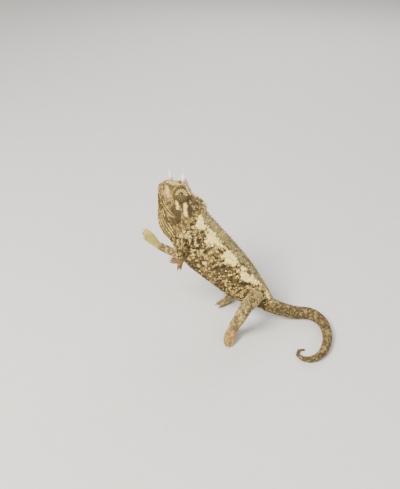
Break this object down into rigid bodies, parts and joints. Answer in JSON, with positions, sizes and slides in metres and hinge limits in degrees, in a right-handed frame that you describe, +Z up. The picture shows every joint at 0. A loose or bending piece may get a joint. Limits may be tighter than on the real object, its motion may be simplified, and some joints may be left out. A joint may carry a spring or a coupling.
{
  "type": "three-horned chameleon",
  "caption": "Still life-size model of a young horned chameleon rearing up on its hind feet and curled tail, with a short snout horn and a pair over the eyes.",
  "frame": {"origin": "centre of the bounding box's underside, on the floor under the feet and the tail", "axes": "+Z up, +X from the head's side to the tail's side, -Y the side that the animal's left flank faces"},
  "size_m": [0.084, 0.0502, 0.0675],
  "materials": {
    "skin_body": "dry granular scales, tan brown with olive pits and cream patches",
    "skin_limbs": "fine dry granular scales, olive green",
    "skin_throat": "long folds of small scales, tan with pale and dark lines",
    "eye_lid": "fine granular lid in a turret, with pale rays round the pupil",
    "eye": "wet, dark and glossy",
    "horn": "smooth pale horn with faint rings",
    "claw": "smooth translucent brown claw"
  },
  "bodies": {
    "root": {"head": "skin_body", "lower_jaw": "skin_body", "neck": "skin_body", "trunk_front": "skin_body", "trunk_rear": "skin_body", "pelvis": "skin_body", "thigh_left": "skin_limbs", "shank_left": "skin_limbs", "hind_foot_left": "skin_limbs", "upper_arm_left": "skin_limbs", "forearm_left": "skin_limbs", "fore_foot_left": "skin_limbs", "thigh_right": "skin_limbs", "shank_right": "skin_limbs", "hind_foot_right": "skin_limbs", "upper_arm_right": "skin_limbs", "forearm_right": "skin_limbs", "fore_foot_right": "skin_limbs", "tail_1": "skin_limbs", "tail_2": "skin_limbs", "tail_3": "skin_limbs", "tail_4": "skin_limbs", "tail_5": "skin_limbs", "tail_6": "skin_limbs", "throat": "skin_throat", "eye_left": "eye_lid", "eye_right": "eye_lid", "horn_rostral": "horn", "horn_left": "horn", "horn_right": "horn"}
  },
  "joints": []
}
